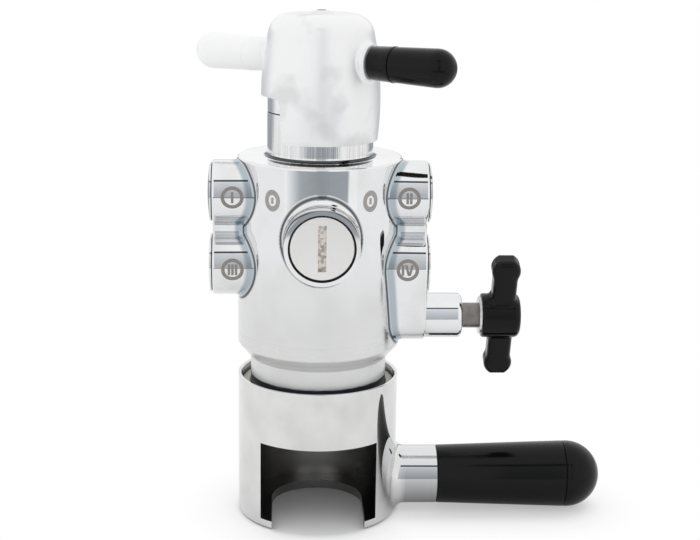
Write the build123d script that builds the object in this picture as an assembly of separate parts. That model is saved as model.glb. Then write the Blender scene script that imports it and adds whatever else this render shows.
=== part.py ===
from build123d import *
import os
from math import acos, asin, atan2, cos, degrees, hypot, radians, sin, sqrt

# Counter-pressure bottle filling tap. A chromed valve body with four line bosses carries a turning head
# with two levers on top, a slotted regulator in front, a bleed valve at the right and a clamping bell
# with a handle below. Lengths are millimetres, angles degrees. The origin is the centre of the bell's
# flat rim, which the tap stands on: +Z is up, -Y is the front and the bell's handle points along +X.

# General clearances
RUNNING_GAP = 0.05
SLIDING_GAP = 0.1
SEAT_GAP = 0.02
THREAD_GAP = 0.3

# Clamping bell
BELL_R = 33.0
BELL_TOP = 59.8
BELL_EDGE = 0.9
FLANGE_THICKNESS = 3.6
CAVITY_R = 28.0
CAVITY_TOP = 40.0
MOUTH_WALL = 1.35
MOUTH_CHAMFER = 0.4
RING_SEAT_DEPTH = 6.8
WINDOW_WIDTH = 47.2
WINDOW_TOP = 36.3
NECK_SLOT_WIDTH = 38.0
ARM_R = 12.2
ARM_END = 50.0
ARM_Z = 14.0
ARM_ROOT_FILLET = 4.0

# Bell grip and its stud
GRIP_END = 119.9
GRIP_TIP_R = 13.9
GRIP_FACE_GAP = 0.2
STUD_R = 5.0
STUD_DEPTH_IN_ARM = 14.0
STUD_DEPTH_IN_GRIP = 46.0

# Guide ring in the bell's mouth
GUIDE_RING_HEIGHT = 3.2

# Valve body, outside
THREAD_R = 30.8
THREAD_LOW = 47.2
THREAD_HIGH = 52.8
SPIGOT_R = 22.0
SPIGOT_LOW = 34.0
NECK_R = 27.9
CONE_LOW = 67.7
BARREL_R = 33.1
CONE_HIGH = 73.6
BARREL_EDGE = 0.8
UPPER_NECK_R = 21.3
UPPER_NECK_HEIGHT = 17.8
NECK_ROOT_FILLET = 2.0

# Line bosses: two on each side, joined by a web
BOSS_R = 12.8
BOSS_Y = -8.0
BOSS_GAP = 3.4
BARREL_RIM = 0.8
BOSS_END = 42.9
BOSS_END_ROUND = 0.9
WEB_HALF_WIDTH = 4.4
VALLEY_FILLET = 2.5
GROOVE_MARGIN = 0.2

# Bleed boss, below the lower right line boss
BLEED_RISE = 12.5
BLEED_TO_BOSS = 21.8
LEG_R = 9.8
BLEED_BOSS_R = 9.1
BLEED_BOSS_END = 58.0
BLEED_EDGE = 2.0

# Front regulator boss and rear mounting boss
REGULATOR_RISE = 14.1
FRONT_BOSS_R = 14.7
FRONT_BOSS_END = 45.3
FRONT_BOSS_FILLET = 4.0
REAR_BOSS_R = 16.0
REAR_BOSS_END = 40.0
REAR_BOSS_FILLET = 3.0

# Bores of the valve body
ROTOR_BORE_R = 13.0
ROTOR_FOOT = 19.9
BONNET_BORE_R = 16.0
BONNET_BORE_DEPTH = 8.3
CHAMBER_R = 6.5
NOZZLE_THREAD_R = 8.0
NOZZLE_THREAD_TOP = 56.0
SEAL_RECESS_R = 19.6
SEAL_RECESS_DEPTH = 3.5
LINE_BORE_R = 9.0
LINE_BORE_FLOOR = 18.0
PLUG_THREAD_R = 9.6
PLUG_THREAD_DEPTH = 8.0
LINE_PORT_R = 3.2

# Rear hose inlets
INLET_X = 31.0
INLET_STUB_R = 6.6
INLET_STUB_END = 24.5
INLET_PORT_R = 3.0
TAIL_THREAD_R = 4.5
TAIL_THREAD_DEPTH = 9.0
TAIL_FLANGE_R = 6.0
TAIL_FLANGE = 3.0
TAIL_R = 3.4
TAIL_BORE_R = 2.2
TAIL_END = 41.0
BARB_HEIGHT = 0.6
BARB_COUNT = 4
INLET_WASHER = 1.0

# Line end plugs, seals and check valves
PLUG_RIM = 1.0
PLUG_EDGE = 0.6
PLUG_DOME = 1.0
PLUG_GAP = 0.35
PLUG_SLOT_WIDTH = 2.4
PLUG_SLOT_LENGTH = 15.0
PLUG_SLOT_DEPTH = 1.1
CARTRIDGE_LENGTH = 4.0
CARTRIDGE_PLACE = 23.0
CARTRIDGE_BORE_R = 2.0
FLOW_HOLE_R = 1.5
FLOW_HOLE_RING_R = 5.0
FLOW_HOLE_COUNT = 6
MEMBRANE_R = 7.4
MEMBRANE_THICKNESS = 0.9
MEMBRANE_BULB_R = 2.8

# Flow regulator in the front boss
DISC_R = 12.3
DISC_RECESS = 0.6
DISC_THICKNESS = 5.0
DISC_CHAMFER = 0.4
COIN_SLOT_WIDTH = 3.2
COIN_SLOT_LENGTH = 18.0
COIN_SLOT_DEPTH = 2.2
REGULATOR_BORE_R = 13.1
REGULATOR_STEM_R = 6.0
REGULATOR_TIP = 15.0
REGULATOR_SEAL_DEPTH = 1.3
REGULATOR_SEAL_LENGTH = 2.4
REGULATOR_PORT_R = 2.6
STEM_SEAL_PLACE = 31.0

# Rear mounting shank, washer and nut
SHANK_R = 11.0
SHANK_ROOT_R = 9.5
SHANK_BORE_R = 4.0
SHANK_SOCKET_DEPTH = 16.0
SHANK_THREAD_END = 62.0
GAS_SPIGOT_R = 7.5
GAS_SPIGOT_LENGTH = 13.0
SHANK_NUT_ACROSS = 30.0
SHANK_NUT_THICKNESS = 8.0
NUT_CHAMFER = 1.6
SHANK_WASHER_R = 15.5
SHANK_WASHER_THICKNESS = 2.0
WALL_GAP = 9.0

# Bottle seal and filling nozzle
SEAL_THICKNESS = 5.5
SEAL_HOLE_R = 9.5
NOZZLE_R = 6.0
NOZZLE_BORE_R = 3.6
NOZZLE_TIP = 26.5
NOZZLE_FLANGE_R = 9.0
NOZZLE_FLANGE = 2.0
NOZZLE_TOP = 52.0

# Bonnet, rotor and its seals
BONNET_NUT_HEIGHT = 11.7
BONNET_LIP_GAP = 0.4
ROTOR_WASHER_ROOM = 2.2
STEM_R = 7.0
DRIVE_R = 6.0
DRIVE_FLAT = 4.6
DRIVE_DROP = 5.5
ROTOR_PORT_R = 3.2
ROTOR_BORE_IN_R = 5.0
ROTOR_SEAL_INSET = 6.0
O_RING_SECTION_R = 1.1
STOP_PIN_R = 2.0
STOP_PIN_REACH = 1.7
STOP_PIN_SEAT = 3.3
STOP_PIN_RISE = 13.0

# Turning head: cap, screw and levers
SKIRT_DROP = 10.8
CAP_HEIGHT = 49.5
CAP_WALL = 1.15
CAP_CLEARANCE = 0.45
CAP_BULGE = 0.9
CAP_BELLY_RISE = 18.5
CAP_TUCK = 3.6
CAP_TOP_ROUND = 8.5
CAP_HEADROOM = 1.0
SKIRT_STEP_RISE = 17.5
SKIRT_CORNER_R = 3.0
HEAD_TURN = -35.0
HEAD_TRAVEL = 75.0
STOP_PLAY = 1.5
LEVER_DROP = 17.8
LEVER_BOSS_R = 7.2
LEVER_BOSS_REACH = 0.4
LEVER_BOSS_FILLET = 2.0
LEVER_ROOT_R = 6.6
LEVER_TIP_R = 7.5
LEVER_LENGTH = 36.3
LEVER_STUD_R = 3.0
LEVER_STUD_IN_CAP = 12.0
LEVER_STUD_IN_GRIP = 22.0
SCREW_HEAD_R = 5.1
SCREW_HEAD_HEIGHT = 1.6
SCREW_R = 2.5
SCREW_DEPTH = 14.0
SCREW_SOCKET_R = 2.2
SCREW_SOCKET_DEPTH = 1.2

# Bleed spindle, seals and wing knob
SPINDLE_R = 5.1
BLEED_SEAT_R = 2.0
BLEED_BORE_FLOOR = 33.0
BLEED_SEAL_DEPTHS = (7.6, 3.8)
VENT_R = 1.5
KNOB_GAP = 8.0
KNOB_LENGTH = 15.8
KNOB_HUB_R = 9.0
KNOB_EDGE = 2.4
KNOB_REST_TURN = 20.0
WING_PLACE = 8.7
WING_REACH = 27.7
WING_THICKNESS = 8.6
WING_TIP_R = 5.8
WING_TIP_FLAT = 0.8
WING_WAIST = 9.8
WING_BLEND = 7.0
WING_EDGE = 2.4
WING_ROOT_FILLET = 3.0
INSERT_R = 7.6
INSERT_STEP = 1.0
INSERT_DEPTH = 11.0

# Worked out from the sizes above: heights from the cone upwards, then the rest
BLEED_Z = CONE_HIGH + BLEED_RISE
LOWER_BOSS_Z = BLEED_Z + BLEED_TO_BOSS
UPPER_BOSS_Z = LOWER_BOSS_Z + 2 * BOSS_R + BOSS_GAP
REGULATOR_Z = LOWER_BOSS_Z + REGULATOR_RISE
BARREL_TOP = UPPER_BOSS_Z + BOSS_R + BARREL_RIM
SEAM_Z = BARREL_TOP + UPPER_NECK_HEIGHT
ROTOR_FLOOR = LOWER_BOSS_Z - ROTOR_FOOT
BONNET_FLOOR = SEAM_Z - BONNET_BORE_DEPTH
BONNET_NUT_TOP = SEAM_Z + BONNET_NUT_HEIGHT
ROTOR_SHOULDER = BONNET_FLOOR - ROTOR_WASHER_ROOM
ROTOR_SEAL_PLACES = (
    ROTOR_FLOOR + ROTOR_SEAL_INSET,
    (REGULATOR_Z + UPPER_BOSS_Z) / 2,
    ROTOR_SHOULDER - ROTOR_SEAL_INSET,
)
STOP_PIN_Z = BARREL_TOP + STOP_PIN_RISE
CAP_LOW = SEAM_Z - SKIRT_DROP
CAP_TOP = CAP_LOW + CAP_HEIGHT
CAP_CAVITY_R = UPPER_NECK_R + CAP_CLEARANCE
CAP_CAVITY_TOP = BONNET_NUT_TOP + CAP_HEADROOM
CAP_LOW_R = CAP_CAVITY_R + CAP_WALL
CAP_BELLY_R = CAP_LOW_R + CAP_BULGE
DRIVE_TOP = CAP_TOP - DRIVE_DROP
LEVER_Z = CAP_TOP - LEVER_DROP
LEVER_BOSS_END = CAP_BELLY_R + LEVER_BOSS_REACH
LEVER_END = LEVER_BOSS_END + LEVER_LENGTH
LEVER_STUD_INNER = LEVER_BOSS_END - LEVER_STUD_IN_CAP
LEVER_STUD_OUTER = LEVER_BOSS_END + LEVER_STUD_IN_GRIP
KNOB_LOW = BLEED_BOSS_END + KNOB_GAP
INSERT_LOW = KNOB_LOW - INSERT_STEP
BLEED_SEAL_PLACES = [BLEED_BOSS_END - depth for depth in BLEED_SEAL_DEPTHS]
THREAD_BORE_R = THREAD_R + THREAD_GAP
MOUTH_R = BELL_R - MOUTH_WALL
RING_SEAT_Z = BELL_TOP - RING_SEAT_DEPTH
PLUG_DISC_R = BOSS_R - PLUG_RIM
PLUG_SEAT = BOSS_END - PLUG_THREAD_DEPTH
DISC_FACE = FRONT_BOSS_END - DISC_RECESS
REGULATOR_FLOOR = DISC_FACE - DISC_THICKNESS - RUNNING_GAP
SEAL_TOP = SPIGOT_LOW + SEAL_RECESS_DEPTH
RECESS_FLOOR = SEAL_TOP
STEM_SEAL_FLOOR = REGULATOR_STEM_R - 2 * O_RING_SECTION_R - SEAT_GAP
BLEED_SEAL_FLOOR = SPINDLE_R - 2 * O_RING_SECTION_R - RUNNING_GAP
STOP_TURN = HEAD_TURN + 180
DRIVE_LOW = CAP_CAVITY_TOP
LINES = {
    1: (-1, UPPER_BOSS_Z),
    2: (1, UPPER_BOSS_Z),
    3: (-1, LOWER_BOSS_Z),
    4: (1, LOWER_BOSS_Z),
}


def turned(*profile):
    """A solid of revolution about Z from (radius, height) corners; a third number rounds that corner."""
    outline = Polyline(*[(corner[0], corner[1]) for corner in profile], close=True)
    face = (Plane.XZ * make_face(outline)).face()
    for corner in profile:
        if len(corner) == 3:
            place = Vector(corner[0], 0, corner[1])
            nearest = min(face.vertices(), key=lambda v: (Vector(v.X, v.Y, v.Z) - place).length)
            face = face.fillet_2d(corner[2], [nearest])
    return revolve(face, Axis.Z)


def facing(solid, origin, direction, across=None):
    """Stands a solid made along +Z at origin, its +Z along direction and its +X along across."""
    return Plane(origin=origin, x_dir=across, z_dir=direction) * solid


def rod(radius, start, end):
    """A plain round bar between two points."""
    path = Vector(*end) - Vector(*start)
    bar = Cylinder(radius, path.length, align=(Align.CENTER, Align.CENTER, Align.MIN))
    return facing(bar, start, path.normalized())


def ring(outer, inner, low, high):
    """A flat ring about Z."""
    return turned((inner, low), (outer, low), (outer, high), (inner, high))


def heading(turn, distance, height):
    """The point at a distance from the tap's axis, turned from +X towards +Y."""
    return (distance * cos(radians(turn)), distance * sin(radians(turn)), height)


def dome(radius, rise, low):
    """A shallow spherical cap standing on the plane at height low."""
    ball_r = (radius**2 + rise**2) / (2 * rise)
    ball = Pos(0, 0, low + rise - ball_r) * Sphere(ball_r)
    column = Cylinder(radius, rise, align=(Align.CENTER, Align.CENTER, Align.MIN))
    return ball & (Pos(0, 0, low) * column)


def round_ended_grip(root_radius, tip_radius, start, end, root_round):
    """A grip that widens along +Z and runs tangentially into a half ball at its end."""
    centre = end - tip_radius
    slope = atan2(centre - start, root_radius) - acos(tip_radius / hypot(root_radius, centre - start))
    ball_start = centre - tip_radius * sin(slope)
    taper = turned(
        (0, start),
        (root_radius, start, root_round),
        (tip_radius * cos(slope), ball_start),
        (0, ball_start),
    )
    return taper + Pos(0, 0, centre) * Sphere(tip_radius)


def new_edges(joined, *pieces):
    """The edges of joined that lie on no edge of the pieces that it was made from."""
    old = [edge for piece in pieces for edge in piece.edges()]
    return [edge for edge in joined.edges() if all(o.distance_to(edge @ 0.5) > 0.01 for o in old)]


def join_with_fillet(body, boss, radius):
    joined = (body + boss).solid()
    return joined.fillet(radius, new_edges(joined, body, boss))


def barrel_blank():
    return turned(
        (0, SPIGOT_LOW),
        (SPIGOT_R, SPIGOT_LOW, 0.8),
        (SPIGOT_R, THREAD_LOW),
        (THREAD_R, THREAD_LOW, 0.6),
        (THREAD_R, THREAD_HIGH, 0.6),
        (NECK_R, THREAD_HIGH),
        (NECK_R, CONE_LOW),
        (BARREL_R, CONE_HIGH, 1.5),
        (BARREL_R, BARREL_TOP, BARREL_EDGE),
        (UPPER_NECK_R, BARREL_TOP, NECK_ROOT_FILLET),
        (UPPER_NECK_R, SEAM_Z),
        (0, SEAM_Z),
    )


def boss_pair_outline():
    """Two line bosses and their web, seen along X; the grooves are wide enough for the valley fillet."""
    spacing = UPPER_BOSS_Z - LOWER_BOSS_Z
    middle = (UPPER_BOSS_Z + LOWER_BOSS_Z) / 2
    outline = Pos(BOSS_Y, middle) * Rectangle(2 * WEB_HALF_WIDTH, spacing)
    for height in (LOWER_BOSS_Z, UPPER_BOSS_Z):
        outline += Pos(BOSS_Y, height) * Circle(BOSS_R)
    groove_rise = spacing / 2 - sqrt(BOSS_R**2 - WEB_HALF_WIDTH**2)
    grooves = [v for v in outline.vertices() if abs(abs(v.Y - middle) - groove_rise) < 0.01]
    return outline.face().fillet_2d(VALLEY_FILLET + GROOVE_MARGIN, grooves)


def leg_outline():
    """The wall that leads down from the lower right boss to the bleed boss, seen along X."""
    upper_round = Pos(BOSS_Y, LOWER_BOSS_Z) * Circle(BOSS_R)
    lower_round = Pos(BOSS_Y, BLEED_Z) * Circle(LEG_R)
    return make_hull(upper_round.edges() + lower_round.edges())


def side_block(side):
    outline = boss_pair_outline() + leg_outline() if side > 0 else boss_pair_outline()
    block = extrude(Plane.YZ * outline, BOSS_END).solid()
    end_edges = [edge for edge in block.edges() if (edge @ 0.5).X > BOSS_END - 0.01]
    block = block.fillet(BOSS_END_ROUND, end_edges)
    return block if side > 0 else mirror(block, Plane.YZ)


def body_outside():
    front_boss = rod(FRONT_BOSS_R, (0, 0, REGULATOR_Z), (0, -FRONT_BOSS_END, REGULATOR_Z))
    rear_boss = rod(REAR_BOSS_R, (0, 0, REGULATOR_Z), (0, REAR_BOSS_END, REGULATOR_Z))
    body = join_with_fillet(barrel_blank(), side_block(-1), VALLEY_FILLET)
    body = join_with_fillet(body, side_block(1), VALLEY_FILLET)
    body = join_with_fillet(body, front_boss, FRONT_BOSS_FILLET)
    body = join_with_fillet(body, rear_boss, REAR_BOSS_FILLET)
    bleed = turned((0, 0), (BLEED_BOSS_R, 0), (BLEED_BOSS_R, BLEED_BOSS_END, BLEED_EDGE), (0, BLEED_BOSS_END))
    body += facing(bleed, (0, BOSS_Y, BLEED_Z), (1, 0, 0))
    for side, height in LINES.values():
        body += rod(INLET_STUB_R, (side * INLET_X, BOSS_Y, height), (side * INLET_X, INLET_STUB_END, height))
    return body


def bore_x(radius, start, end, height):
    """A round bore along X on the line bosses' plane."""
    return rod(radius, (start, BOSS_Y, height), (end, BOSS_Y, height))


def bore_y(radius, across, start, end, height):
    """A round bore along Y."""
    return rod(radius, (across, start, height), (across, end, height))


def body_bores():
    """Everything that is bored out of the valve body."""
    main = turned(
        (0, SPIGOT_LOW - 1),
        (SEAL_RECESS_R, SPIGOT_LOW - 1),
        (SEAL_RECESS_R, RECESS_FLOOR),
        (NOZZLE_THREAD_R, RECESS_FLOOR),
        (NOZZLE_THREAD_R, NOZZLE_THREAD_TOP),
        (CHAMBER_R, NOZZLE_THREAD_TOP),
        (CHAMBER_R, ROTOR_FLOOR),
        (ROTOR_BORE_R, ROTOR_FLOOR),
        (ROTOR_BORE_R, BONNET_FLOOR),
        (BONNET_BORE_R, BONNET_FLOOR),
        (BONNET_BORE_R, SEAM_Z + 1),
        (0, SEAM_Z + 1),
    )
    bores = [main]
    for side, height in LINES.values():
        centre = (0, BOSS_Y, height)
        line = turned(
            (0, LINE_BORE_FLOOR),
            (LINE_BORE_R, LINE_BORE_FLOOR),
            (LINE_BORE_R, PLUG_SEAT),
            (PLUG_THREAD_R, PLUG_SEAT),
            (PLUG_THREAD_R, BOSS_END + 1),
            (0, BOSS_END + 1),
        )
        bores.append(facing(line, centre, (side, 0, 0)))
        bores.append(bore_x(LINE_PORT_R, side * ROTOR_BORE_R / 2, side * (LINE_BORE_FLOOR + 1), height))
        inlet_x = side * INLET_X
        thread_floor = INLET_STUB_END - TAIL_THREAD_DEPTH
        bores.append(bore_y(INLET_PORT_R, inlet_x, BOSS_Y, INLET_STUB_END, height))
        bores.append(bore_y(TAIL_THREAD_R, inlet_x, thread_floor, INLET_STUB_END + 1, height))
    stem_floor = REGULATOR_TIP - SLIDING_GAP
    socket_floor = REAR_BOSS_END - SHANK_SOCKET_DEPTH
    bores.append(bore_y(REGULATOR_BORE_R, 0, -REGULATOR_FLOOR, -FRONT_BOSS_END - 1, REGULATOR_Z))
    bores.append(bore_y(REGULATOR_STEM_R + RUNNING_GAP, 0, -stem_floor, -REGULATOR_FLOOR - 1, REGULATOR_Z))
    bores.append(bore_y(REGULATOR_PORT_R, 0, -ROTOR_BORE_R / 2, -stem_floor - 1, REGULATOR_Z))
    bores.append(bore_y(SHANK_ROOT_R + SEAT_GAP, 0, socket_floor, REAR_BOSS_END + 1, REGULATOR_Z))
    bores.append(bore_y(INLET_PORT_R, 0, ROTOR_BORE_R / 2, socket_floor + 1, REGULATOR_Z))
    bores.append(bore_x(SPINDLE_R + RUNNING_GAP, BLEED_BORE_FLOOR, BLEED_BOSS_END + 1, BLEED_Z))
    bores.append(rod(BLEED_SEAT_R, (0, 0, BLEED_Z - BLEED_SEAT_R), (BLEED_BORE_FLOOR + 1, BOSS_Y, BLEED_Z)))
    vent_x = (BLEED_BORE_FLOOR + BOSS_END) / 2
    bores.append(rod(VENT_R, (vent_x, BOSS_Y, BLEED_Z), (vent_x, BOSS_Y, BLEED_Z - 2 * LEG_R)))
    pin_start = heading(STOP_TURN, UPPER_NECK_R - STOP_PIN_SEAT, STOP_PIN_Z)
    pin_end = heading(STOP_TURN, UPPER_NECK_R + 1, STOP_PIN_Z)
    bores.append(rod(STOP_PIN_R + SEAT_GAP, pin_start, pin_end))
    return bores


def body_casting():
    body = body_outside()
    for bore in body_bores():
        body -= bore
    return body.solid()


def end_plug(number):
    """A domed screw plug with a coin slot; it closes one line boss."""
    side, height = LINES[number]
    thread = ring(PLUG_THREAD_R - SEAT_GAP, 0, 1 - PLUG_THREAD_DEPTH, 0)
    neck = ring(LINE_BORE_R, 0, 0, PLUG_GAP)
    disc = ring(PLUG_DISC_R, 0, PLUG_GAP, PLUG_GAP + PLUG_EDGE)
    top = PLUG_GAP + PLUG_EDGE + PLUG_DOME
    plug = thread + neck + disc + dome(PLUG_DISC_R, PLUG_DOME, PLUG_GAP + PLUG_EDGE)
    plug -= Pos(0, 0, top) * Box(PLUG_SLOT_WIDTH, PLUG_SLOT_LENGTH, 2 * PLUG_SLOT_DEPTH)
    return facing(plug, (side * BOSS_END, BOSS_Y, height), (side, 0, 0), (0, 1, 0))


def end_plug_seals():
    flat_ring = ring(PLUG_DISC_R - 0.5, LINE_BORE_R + SLIDING_GAP, 0, PLUG_GAP)
    rings = []
    for side, height in LINES.values():
        rings.append(facing(flat_ring, (side * BOSS_END, BOSS_Y, height), (side, 0, 0)).solid())
    return Compound(children=rings)


def check_cartridge(number):
    """A cup with a ring of flow holes; its skirt stands on the floor of the line bore."""
    side, height = LINES[number]
    outer = LINE_BORE_R - SEAT_GAP
    plate_low = CARTRIDGE_PLACE
    plate_high = CARTRIDGE_PLACE + CARTRIDGE_LENGTH
    cup = turned(
        (CARTRIDGE_BORE_R, plate_low),
        (MEMBRANE_R + THREAD_GAP, plate_low),
        (MEMBRANE_R + THREAD_GAP, LINE_BORE_FLOOR),
        (outer, LINE_BORE_FLOOR),
        (outer, plate_high, 0.4),
        (CARTRIDGE_BORE_R, plate_high),
    )
    hole = Pos(0, 0, plate_low + CARTRIDGE_LENGTH / 2) * Cylinder(FLOW_HOLE_R, 2 * CARTRIDGE_LENGTH)
    for place in PolarLocations(FLOW_HOLE_RING_R, FLOW_HOLE_COUNT):
        cup -= place * hole
    return facing(cup, (0, BOSS_Y, height), (side, 0, 0))


def check_membrane(number):
    """A rubber umbrella that covers the flow holes; its bulb holds it in the cartridge."""
    side, height = LINES[number]
    stem_r = CARTRIDGE_BORE_R - SLIDING_GAP
    plate_low = CARTRIDGE_PLACE
    plate_high = CARTRIDGE_PLACE + CARTRIDGE_LENGTH
    umbrella = turned(
        (0, plate_low - 2 * MEMBRANE_THICKNESS),
        (stem_r, plate_low - 2 * MEMBRANE_THICKNESS),
        (MEMBRANE_R, plate_low - MEMBRANE_THICKNESS),
        (MEMBRANE_R, plate_low),
        (stem_r, plate_low),
        (stem_r, plate_high),
        (MEMBRANE_BULB_R, plate_high),
        (stem_r, plate_high + MEMBRANE_BULB_R),
        (0, plate_high + MEMBRANE_BULB_R),
    )
    return facing(umbrella, (0, BOSS_Y, height), (side, 0, 0))


def inlet_tail(number):
    """A screwed hose tail with saw-tooth barbs, along +Y behind its line boss."""
    side, height = LINES[number]
    flange_low = INLET_STUB_END + INLET_WASHER
    flange_high = flange_low + TAIL_FLANGE
    pitch = (TAIL_END - flange_high - 1) / BARB_COUNT
    profile = [
        (TAIL_BORE_R, INLET_STUB_END - TAIL_THREAD_DEPTH + 0.5),
        (TAIL_THREAD_R - SEAT_GAP, INLET_STUB_END - TAIL_THREAD_DEPTH + 0.5),
        (TAIL_THREAD_R - SEAT_GAP, flange_low),
        (TAIL_FLANGE_R, flange_low, 0.4),
        (TAIL_FLANGE_R, flange_high, 0.4),
        (TAIL_R, flange_high),
    ]
    for barb in range(BARB_COUNT):
        start = flange_high + 1 + barb * pitch
        profile.append((TAIL_R, start))
        profile.append((TAIL_R + BARB_HEIGHT, start))
    profile.append((TAIL_R, TAIL_END))
    profile.append((TAIL_BORE_R, TAIL_END))
    return facing(turned(*profile), (side * INLET_X, 0, height), (0, 1, 0))


def inlet_washers():
    washer = ring(TAIL_FLANGE_R, TAIL_THREAD_R + SLIDING_GAP, INLET_STUB_END, INLET_STUB_END + INLET_WASHER)
    washers = []
    for side, height in LINES.values():
        washers.append(facing(washer, (side * INLET_X, 0, height), (0, 1, 0)).solid())
    return Compound(children=washers)


def flow_regulator():
    """The slotted disc in the front boss and its throttling stem."""
    disc_back = DISC_FACE - DISC_THICKNESS
    spindle = turned(
        (0, REGULATOR_TIP),
        (REGULATOR_STEM_R - REGULATOR_PORT_R, REGULATOR_TIP),
        (REGULATOR_STEM_R, REGULATOR_TIP + REGULATOR_PORT_R),
        (REGULATOR_STEM_R, STEM_SEAL_PLACE - O_RING_SECTION_R - SEAT_GAP),
        (STEM_SEAL_FLOOR, STEM_SEAL_PLACE - O_RING_SECTION_R - SEAT_GAP),
        (STEM_SEAL_FLOOR, STEM_SEAL_PLACE + O_RING_SECTION_R + SEAT_GAP),
        (REGULATOR_STEM_R, STEM_SEAL_PLACE + O_RING_SECTION_R + SEAT_GAP),
        (REGULATOR_STEM_R, disc_back),
        (DISC_R, disc_back),
        (DISC_R, DISC_FACE, DISC_CHAMFER),
        (0, DISC_FACE),
    )
    spindle -= Pos(0, 0, DISC_FACE) * Box(COIN_SLOT_WIDTH, COIN_SLOT_LENGTH, 2 * COIN_SLOT_DEPTH)
    return facing(spindle, (0, 0, REGULATOR_Z), (0, -1, 0), (1, 0, 0))


def regulator_face_seal():
    low = DISC_FACE - REGULATOR_SEAL_DEPTH - REGULATOR_SEAL_LENGTH
    seal = ring(REGULATOR_BORE_R - SEAT_GAP, DISC_R + RUNNING_GAP, low, DISC_FACE - REGULATOR_SEAL_DEPTH)
    return facing(seal, (0, 0, REGULATOR_Z), (0, -1, 0))


def regulator_stem_seal():
    centre_r = REGULATOR_STEM_R - O_RING_SECTION_R
    return facing(Torus(centre_r, O_RING_SECTION_R), (0, -STEM_SEAL_PLACE, REGULATOR_Z), (0, -1, 0))


def mounting_shank():
    """The hollow threaded shank that carries the gas in and bolts the tap to its column."""
    shank = turned(
        (SHANK_BORE_R, REAR_BOSS_END - SHANK_SOCKET_DEPTH + 0.5),
        (SHANK_ROOT_R, REAR_BOSS_END - SHANK_SOCKET_DEPTH + 0.5),
        (SHANK_ROOT_R, REAR_BOSS_END),
        (SHANK_R, REAR_BOSS_END),
        (SHANK_R, SHANK_THREAD_END, 0.8),
        (GAS_SPIGOT_R, SHANK_THREAD_END),
        (GAS_SPIGOT_R, SHANK_THREAD_END + GAS_SPIGOT_LENGTH),
        (GAS_SPIGOT_R - 1.0, SHANK_THREAD_END + GAS_SPIGOT_LENGTH + 1.0),
        (SHANK_BORE_R, SHANK_THREAD_END + GAS_SPIGOT_LENGTH + 1.0),
    )
    return facing(shank, (0, 0, REGULATOR_Z), (0, 1, 0))


def shank_washer():
    washer = ring(SHANK_WASHER_R, SHANK_R + SLIDING_GAP, 0, SHANK_WASHER_THICKNESS)
    return facing(washer, (0, REAR_BOSS_END, REGULATOR_Z), (0, 1, 0))


def shank_nut():
    half_across = SHANK_NUT_ACROSS / 2
    hexagon = extrude(RegularPolygon(half_across, 6, major_radius=False), SHANK_NUT_THICKNESS)
    nut = hexagon & turned(
        (0, 0),
        (half_across, 0),
        (half_across + 2 * NUT_CHAMFER, NUT_CHAMFER),
        (half_across + 2 * NUT_CHAMFER, SHANK_NUT_THICKNESS - NUT_CHAMFER),
        (half_across, SHANK_NUT_THICKNESS),
        (0, SHANK_NUT_THICKNESS),
    )
    nut -= ring(SHANK_R + RUNNING_GAP, 0, -1, SHANK_NUT_THICKNESS + 1)
    wall_back = REAR_BOSS_END + SHANK_WASHER_THICKNESS + WALL_GAP
    return facing(nut, (0, wall_back, REGULATOR_Z), (0, 1, 0))


def bottle_seal():
    low = SEAL_TOP - SEAL_THICKNESS
    return turned(
        (SEAL_HOLE_R, low),
        (SEAL_RECESS_R - SEAT_GAP, low, 0.8),
        (SEAL_RECESS_R - SEAT_GAP, SEAL_TOP),
        (SEAL_HOLE_R, SEAL_TOP),
    )


def filling_nozzle():
    return turned(
        (NOZZLE_BORE_R, NOZZLE_TIP),
        (NOZZLE_R - 1.0, NOZZLE_TIP),
        (NOZZLE_R + 1.2, NOZZLE_TIP + 1.6),
        (NOZZLE_R, NOZZLE_TIP + 3.2),
        (NOZZLE_R, RECESS_FLOOR - NOZZLE_FLANGE),
        (NOZZLE_FLANGE_R, RECESS_FLOOR - NOZZLE_FLANGE, 0.3),
        (NOZZLE_FLANGE_R, RECESS_FLOOR),
        (NOZZLE_THREAD_R - SEAT_GAP, RECESS_FLOOR),
        (NOZZLE_THREAD_R - SEAT_GAP, NOZZLE_TOP, 0.5),
        (NOZZLE_BORE_R, NOZZLE_TOP),
    )


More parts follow.
